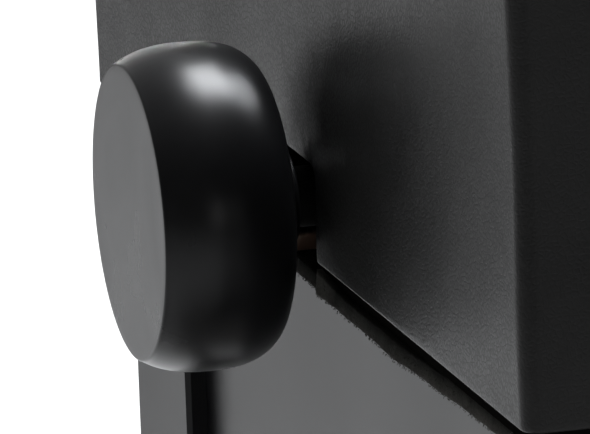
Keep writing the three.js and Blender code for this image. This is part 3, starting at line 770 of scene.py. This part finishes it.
def seam_loop(inset, z, corner_radius):
    """Points round the seat box at one level, with even spacing."""
    half_x = SKIRT_HIGH.x - inset - corner_radius
    half_y = SKIRT_HIGH.y - inset - corner_radius
    points = []
    for x_sign, y_sign, start in ((1, 1, 0), (-1, 1, 90), (-1, -1, 180), (1, -1, 270)):
        for k in range(7):
            angle = math.radians(start + 15 * k)
            points.append(
                Vector((
                    x_sign * half_x + corner_radius * math.cos(angle),
                    y_sign * half_y + corner_radius * math.sin(angle),
                    z,
                ))
            )
    return points


def piping():
    """The corded welt sewn between the top panel and the skirt."""
    curve = bpy.data.curves.new("seam_welt", "CURVE")
    curve.dimensions = "3D"
    curve.bevel_depth = 1.9 * MM
    curve.bevel_resolution = 4
    points = seam_loop(0.6 * MM, SKIRT_HIGH.z + 0.2 * MM, 5 * MM)
    spline = curve.splines.new("POLY")
    spline.points.add(len(points) - 1)
    for target, point in zip(spline.points, points):
        target.co = (*point, 1)
    spline.use_cyclic_u = True
    piece = bpy.data.objects.new("seam_welt", curve)
    bpy.context.scene.collection.objects.link(piece)
    curve.materials.append(FINISHES["leatherette"])
    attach(piece, "seat")


# ---- felt ----


def felt_face(node):
    """Start, end and outward normal of a felt strip's outer face, at the level of its lower edge."""
    low, high = corners(node)
    if high.x - low.x > high.y - low.y:
        sign = 1 if high.y > 0 else -1
        outer = sign * max(abs(low.y), abs(high.y))
        return Vector((low.x, outer, low.z)), Vector((high.x, outer, low.z)), Vector((0, sign, 0))
    sign = 1 if high.x > 0 else -1
    outer = sign * max(abs(low.x), abs(high.x))
    return Vector((outer, low.y, low.z)), Vector((outer, high.y, low.z)), Vector((sign, 0, 0))


def pressed(point, normal):
    """1 where the boards rest on the felt and squeeze it out, 0 under the open notch."""
    if abs(normal.x) < 0.5:
        return 1.0
    return min(1.0, max(0.0, (abs(point.y) - BOARD_NOTCH_HALF) / (0.8 * MM)))


def over_leg(point, normal):
    """Rises from 0 along the run to 1 over the legs, which hold the felt's edge back."""
    on_end = abs(normal.x) > 0.5
    from_end = SKIRT_HIGH.y - abs(point.y) if on_end else SKIRT_HIGH.x - abs(point.x)
    rise_start = 100 * MM
    rise = 60 * MM
    t = min(1.0, max(0.0, (rise_start - from_end) / rise))
    return t * t * (3 - 2 * t)


def beside_notch(point, normal):
    """1 right beside the open notch, where the felt also swells up, fading to 0 along the strip."""
    if abs(normal.x) < 0.5:
        return 0.0
    fading = 13 * MM
    return math.exp(-(((abs(point.y) - BOARD_NOTCH_HALF) / fading) ** 2))


def felt_edge_shift(point, normal, height):
    """How far the felt's face is moved at a point of its run; height goes from 0 below to 1 above."""
    rag = noise.noise(Vector((point.x * 70, point.y * 70, 3.1)))
    rough = noise.noise(Vector((point.x * 380, point.y * 380, height * 1.7)))
    squeezed = pressed(point, normal)
    bulge = 0.55 + 0.4 * (1 - height) * (1 + rag)
    held_back = 1.9
    out = -0.2 * (1 - squeezed) + squeezed * bulge + 0.1 * rough
    out -= held_back * over_leg(point, normal)
    down = (1 - height) * (0.12 + 0.15 * rag + 0.08 * rough)
    up = height**3 * squeezed * beside_notch(point, normal) * (1.4 + 0.3 * rough)
    return normal * out * MM + Vector((0, 0, (up - down) * MM))


def felt_strip(node):
    """A strip of felt with a torn lower edge; its section is (depth, height) pairs from 0 to 1."""
    low, high = corners(node)
    start, end, normal = felt_face(node)
    width = min(high.x - low.x, high.y - low.y)
    steps = max(2, int((end - start).length / (1.0 * MM)))
    outer_face = [(0, height) for height in (1, 0.85, 0.65, 0.45, 0.25, 0.1)]
    section = outer_face + [(0.04, 0), (0.3, 0), (1, 0), (1, 1), (0.1, 1)]
    shape = bmesh.new()
    rings = []
    for i in range(steps + 1):
        point = start.lerp(end, i / steps)
        ring = []
        for depth, height in section:
            place = point - normal * width * depth
            place.z = low.z + (high.z - low.z) * height
            if depth < 0.2:
                place += felt_edge_shift(point, normal, height)
            ring.append(shape.verts.new(place))
        rings.append(ring)
    for a, b in zip(rings, rings[1:]):
        for j in range(len(section)):
            n = (j + 1) % len(section)
            shape.faces.new((a[j], b[j], b[n], a[n]))
    shape.faces.new(rings[0])
    shape.faces.new(list(reversed(rings[-1])))
    bmesh.ops.recalc_face_normals(shape, faces=shape.faces)
    return dress(from_bmesh(f"{node}_wool", shape), "base", "felt", node)


def felt_fibres(node, count):
    """Loose fibres along the outer face of a felt strip."""
    low, high = corners(node)
    start, end, normal = felt_face(node)
    along = (end - start).normalized()
    curve = bpy.data.curves.new(f"{node}_fibres", "CURVE")
    curve.dimensions = "3D"
    curve.bevel_depth = 0.05 * MM
    curve.bevel_resolution = 0
    for _ in range(count):
        root = start.lerp(end, random.random())
        height = random.random() ** 1.8
        shift = felt_edge_shift(root, normal, height)
        lean = along * random.uniform(-1, 1) + normal * random.uniform(-0.1, 0.5)
        lean.z = random.uniform(-0.8, 0.3)
        reach = random.uniform(0.2, 0.6) * MM
        root.z = low.z + (high.z - low.z) * height
        root += shift - normal * 0.15 * MM
        bend = Vector([random.uniform(-1, 1) for _ in range(3)]) * 0.2 * MM
        spline = curve.splines.new("POLY")
        spline.points.add(2)
        for target, t in zip(spline.points, (0, 0.5, 1)):
            place = root + lean.normalized() * reach * t + bend * math.sin(math.pi * t)
            place.z = max(place.z, low.z - 0.5 * MM)
            target.co = (*place, 1)
    piece = bpy.data.objects.new(f"{node}_fibres", curve)
    bpy.context.scene.collection.objects.link(piece)
    curve.materials.append(FINISHES["felt"])
    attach(piece, "base")


# ---- knobs and spindle ----


def knob(side, sign):
    """A moulded hand knob, turned smooth; sign is -1 at the left end."""
    low, high = corners(f"knob_{side}")
    radius = (high.z - low.z) / 2
    face_radius = radius - 3.3 * MM
    crest = radius - 0.3 * MM
    depth = 27.6 * MM
    hub_end = high.x - low.x
    hub = 10 * MM
    bore = 6.2 * MM
    edge = 0.55 * MM
    front_start = (edge, face_radius + 0.12 * MM)
    back_start = (14.5 * MM, crest)
    back_end = (depth, crest - 9.5 * MM)
    profile = [(0, 0), (0, face_radius * 0.35), (0, face_radius * 0.7), (0.02 * MM, face_radius * 0.93)]
    profile.append((0, face_radius - edge))
    profile += bezier([(0, face_radius - edge), (0, face_radius), front_start], 4)
    profile += bezier([front_start, (5.2 * MM, crest), (12 * MM, crest)], 14)
    profile.append(back_start)
    profile += bezier([back_start, (22.5 * MM, crest), (depth, crest - 3.4 * MM), back_end], 24)
    profile += bezier([(depth, 14 * MM), (depth, hub + 0.5 * MM), (depth + 1 * MM, hub)], 4)
    profile += [(hub_end - 0.4 * MM, hub), (hub_end, hub - 0.4 * MM), (hub_end, bore + 0.1 * MM)]
    profile += [(depth, bore), (depth, 0)]
    face_x = low.x if sign < 0 else high.x
    place = Matrix.Translation((face_x, 0, AXIS_Z)) @ Matrix.Diagonal((-sign, 1, 1, 1))
    piece = turned(f"hand_knob_{side}", profile, 128, place)
    shape = bmesh.new()
    shape.from_mesh(piece.data)
    bmesh.ops.recalc_face_normals(shape, faces=shape.faces)
    shape.to_mesh(piece.data)
    shape.free()
    for polygon in piece.data.polygons:
        polygon.use_smooth = True
    return dress(piece, "spindle_set", "knob_plastic", f"knob_{side}")


def threaded_spindle():
    """The spindle with its trapezoidal thread, 3 mm pitch, between two shouldered journals."""
    pitch = 3 * MM
    crest = 7 * MM
    root = 5.7 * MM
    sides = 28
    shoulder = corners("spindle_bush_right")[0].x - 0.3 * MM
    thread_end = shoulder - 7 * MM
    rows_per_turn = 8
    count = int(2 * (thread_end - 2 * MM) / (pitch / rows_per_turn))
    profile = []
    end = SPINDLE_END
    left = [(-end, 0), (-end, 5 * MM), (-end + 1 * MM, 6 * MM), (-shoulder, 6 * MM), (-shoulder, 10 * MM)]
    left += [(-thread_end, 10 * MM), (-thread_end, root), (-thread_end + 2 * MM, root)]
    for station, radius in left:
        profile.append((station, radius, False))
    for k in range(count + 1):
        profile.append((-thread_end + 2 * MM + k * pitch / rows_per_turn, 0, True))
    for station, radius in reversed(left):
        profile.append((-station, radius, False))

    def thread_radius(phase):
        height = min(1.0, max(0.0, 0.5 + 2.2 * (abs(phase - 0.5) * 2 - 0.5)))
        return root + (crest - root) * height

    vertices = []
    faces = []
    for station, radius, threaded in profile:
        for k in range(sides):
            angle = 2 * math.pi * k / sides
            if threaded:
                radius = thread_radius((station / pitch + k / sides) % 1.0)
            vertices.append((station, radius * math.cos(angle), AXIS_Z + radius * math.sin(angle)))
    for row in range(len(profile) - 1):
        for k in range(sides):
            n = (k + 1) % sides
            faces.append((row * sides + k, row * sides + n, (row + 1) * sides + n, (row + 1) * sides + k))
    piece = mesh_object("threaded_spindle", vertices, faces)
    add_modifier(piece, "smoothed", "NODES", node_group=SMOOTH)
    return dress(piece, "spindle_set", "blackened_steel", "spindle")


# ---- screws that hold the steelwork ----


def screw_head(name, place, facing, body):
    """A pan-head cross-slot screw seen from outside: a domed head with a cross recess."""
    radius = 4.2 * MM
    height = 2.2 * MM
    cross_depth = 1.1 * MM
    sides = 32
    rings = 9
    vertices = [(0, 0, height - cross_depth)]
    for ring in range(1, rings + 1):
        reach = ring / rings
        for k in range(sides):
            angle = 2 * math.pi * k / sides
            arm = min(abs(math.sin(angle)), abs(math.cos(angle))) * reach
            dome = height * (1 - 0.45 * reach**3)
            recess = cross_depth if arm < 0.12 and reach < 0.62 else 0.0
            z = 0.0 if ring == rings else dome - recess
            vertices.append((radius * reach * math.cos(angle), radius * reach * math.sin(angle), z))
    faces = [(0, 1 + k, 1 + (k + 1) % sides) for k in range(sides)]
    for ring in range(rings - 1):
        first = 1 + ring * sides
        for k in range(sides):
            n = (k + 1) % sides
            faces.append((first + k, first + sides + k, first + sides + n, first + n))
    turn = Vector(facing).to_track_quat("Z", "Y").to_matrix()
    piece = mesh_object(name, [Vector(place) + turn @ Vector(v) for v in vertices], faces, smooth=False)
    return dress(piece, body, "zinc_steel")


def screws():
    """Four screws in each bearing plate and four along the flange of each rail."""
    flange_inset = 6 * MM
    flange_thickness = 2.5 * MM
    for side, sign in (("left", -1), ("right", 1)):
        low, high = corners(f"bearing_plate_{side}")
        face = high.x if sign < 0 else low.x
        for y in (-17 * MM, 17 * MM):
            for k, z in enumerate((low.z + 10 * MM, low.z + 30 * MM)):
                place = (face, y, z)
                level = "lower" if k == 0 else "upper"
                half = "front" if y < 0 else "rear"
                screw_head(f"bearing_screw_{side}_{half}_{level}", place, (-sign, 0, 0), "base")
    for side, sign in (("front", -1), ("rear", 1)):
        low, high = corners(f"upper_rail_{side}")
        flange_y = sign * (max(abs(low.y), abs(high.y)) - flange_inset)
        for k, x in enumerate((-135 * MM, -45 * MM, 45 * MM, 135 * MM)):
            place = (x, flange_y, high.z - flange_thickness)
            screw_head(f"upper_rail_screw_{side}_{k + 1}", place, (0, 0, -1), "seat")
        low, high = corners(f"lower_rail_{side}")
        flange_y = sign * (max(abs(low.y), abs(high.y)) - flange_inset)
        for k, x in enumerate((-145 * MM, -50 * MM, 50 * MM, 145 * MM)):
            place = (x, flange_y, low.z + flange_thickness)
            screw_head(f"lower_rail_screw_{side}_{k + 1}", place, (0, 0, 1), "base")


# ---- floor, light and camera ----


def studio_floor():
    """A white floor that reaches far past the camera."""
    half = 60
    square = [(-half, -half, 0), (half, -half, 0), (half, half, 0), (-half, half, 0)]
    shape = mesh_object("studio_floor", square, [(0, 1, 2, 3)])
    finish = Finish("studio_floor", 0.9)
    mottle = finish.noise(3, 2)
    finish.colour(finish.ramp(mottle, (0.3, (0.83, 0.83, 0.83)), (0.7, (0.86, 0.86, 0.86))))
    shape.data.materials.append(finish.material)


def softbox(name, place, target, width, depth, power, colour=(1, 1, 1)):
    """An oval area light of the given width and depth that faces target."""
    light = bpy.data.lights.new(name, "AREA")
    light.shape = "ELLIPSE"
    light.size = width
    light.size_y = depth
    light.energy = power
    light.color = colour
    made = bpy.data.objects.new(name, light)
    made.location = place
    made.rotation_euler = (Vector(target) - Vector(place)).to_track_quat("-Z", "Y").to_euler()
    bpy.context.scene.collection.objects.link(made)
    return made


def black_flag(left, right, y, top):
    """A dark upright card behind the bench that only reflections see."""
    outline = [(left, y, 0), (right, y, 0), (right, y, top), (left, y, top)]
    card = mesh_object("black_flag", outline, [(0, 1, 2, 3)])
    finish = Finish("black_flag", 1.0)
    finish.colour(finish.ramp(finish.noise(4), (0.3, (0.004, 0.004, 0.004)), (0.7, (0.006, 0.006, 0.006))))
    card.data.materials.append(finish.material)
    card.visible_camera = False
    card.visible_diffuse = False
    card.visible_shadow = False


def knob_softbox(name, place, target, size, power, colour=(1, 1, 1)):
    """A softbox that shines on the two hand knobs alone, with nothing but them in its way."""
    light = softbox(name, place, target, *size, power, colour)
    knobs = bpy.data.collections.new(f"{name}_reaches")
    for side in ("left", "right"):
        knobs.objects.link(bpy.data.objects[f"hand_knob_{side}"])
    light.light_linking.receiver_collection = knobs
    light.light_linking.blocker_collection = knobs
    light.data.cycles.use_multiple_importance_sampling = False


def room():
    """A white room that is darker in front of the bench than behind it."""
    world = bpy.data.worlds.new("studio")
    bpy.context.scene.world = world
    world.use_nodes = True
    nodes = world.node_tree.nodes
    link = world.node_tree.links.new
    direction = nodes.new("ShaderNodeTexCoord").outputs["Generated"]
    split = nodes.new("ShaderNodeSeparateXYZ")
    ramp = nodes.new("ShaderNodeMapRange")
    for socket, number in zip(ramp.inputs[1:5], (-0.6, 0.95, 0.1, 0.5)):
        socket.default_value = number
    link(direction, split.inputs[0])
    link(split.outputs["Y"], ramp.inputs[0])
    link(ramp.outputs[0], nodes["Background"].inputs["Strength"])
    nodes["Background"].inputs["Color"].default_value = (1, 1, 1, 1)


def studio_light():
    """Softboxes overhead, behind and, weakly, in front, and three more that only the knobs reflect."""
    knob_place = Vector((KNOB_LOW.x, 0, AXIS_Z))
    overhead = knob_place + Vector((0.74, 0.42, 1.55))
    softbox("overhead_softbox", overhead, knob_place, 1.5, 0.85, 66, (0.95, 0.97, 1))
    cool = (0.93, 0.96, 1)
    upper = knob_place + Vector((0.4, 0.33, 1.4))
    inner = knob_place + Vector((0.74, 0.33, 1.26))
    behind = knob_place + Vector((0.1, 1.8, 0.22))
    knob_softbox("highlight_softbox", upper, knob_place, (0.6, 0.6), 9.5, cool)
    knob_softbox("spread_softbox", inner, knob_place, (0.74, 0.74), 16, cool)
    knob_softbox("rim_softbox", behind, knob_place, (1.0, 0.6), 1.9)
    rear = softbox("rear_softbox", (0.7, 2.3, 1.5), (0.1, 1.6, 0), 1.2, 1.2, 25)
    rear.visible_glossy = False
    softbox("front_reflector", knob_place + Vector((0.3, -2.2, 0.25)), knob_place, 0.35, 0.7, 1.2)
    black_flag(left=-0.42, right=-0.2, y=1.0, top=0.7)


def look_from(target, azimuth, elevation, roll, distance, lens):
    """The camera, near-orthographic; azimuth 0 looks along +Y, a positive roll turns it clockwise."""
    a, e, r = (math.radians(value) for value in (azimuth, elevation, roll))
    back = Vector((math.sin(a) * math.cos(e), -math.cos(a) * math.cos(e), math.sin(e)))
    right = Vector((math.cos(a), math.sin(a), 0))
    up = back.cross(right)
    rolled_right = right * math.cos(r) - up * math.sin(r)
    rolled_up = up * math.cos(r) + right * math.sin(r)
    data = bpy.data.cameras.new("camera")
    data.lens = lens
    data.clip_end = 200
    camera = bpy.data.objects.new("camera", data)
    rotation = Matrix((rolled_right, rolled_up, back)).transposed().to_4x4()
    camera.matrix_world = Matrix.Translation(target + back * distance) @ rotation
    bpy.context.scene.collection.objects.link(camera)
    bpy.context.scene.camera = camera


def point_camera():
    """Aims just below the place where the left shaft enters the seat box."""
    pierce = Vector((SKIRT_LOW.x, 0, AXIS_Z))
    aim = pierce + Vector((-0.66, 0.05, -4.03)) * MM
    look_from(aim, azimuth=-14.19, elevation=12.96, roll=2.19, distance=3.0, lens=938)


carried_nodes()
skirt_cover()
cushion()
piping()
for strip, fibre_count in (("left", 1500), ("right", 900), ("front", 1200), ("rear", 1200)):
    felt_strip(f"felt_strip_{strip}")
    felt_fibres(f"felt_strip_{strip}", fibre_count)
knob("left", -1)
knob("right", 1)
threaded_spindle()
screws()
studio_floor()
room()
studio_light()
point_camera()

scene = bpy.context.scene
scene.view_settings.view_transform = "Standard"
scene.view_settings.look = "None"
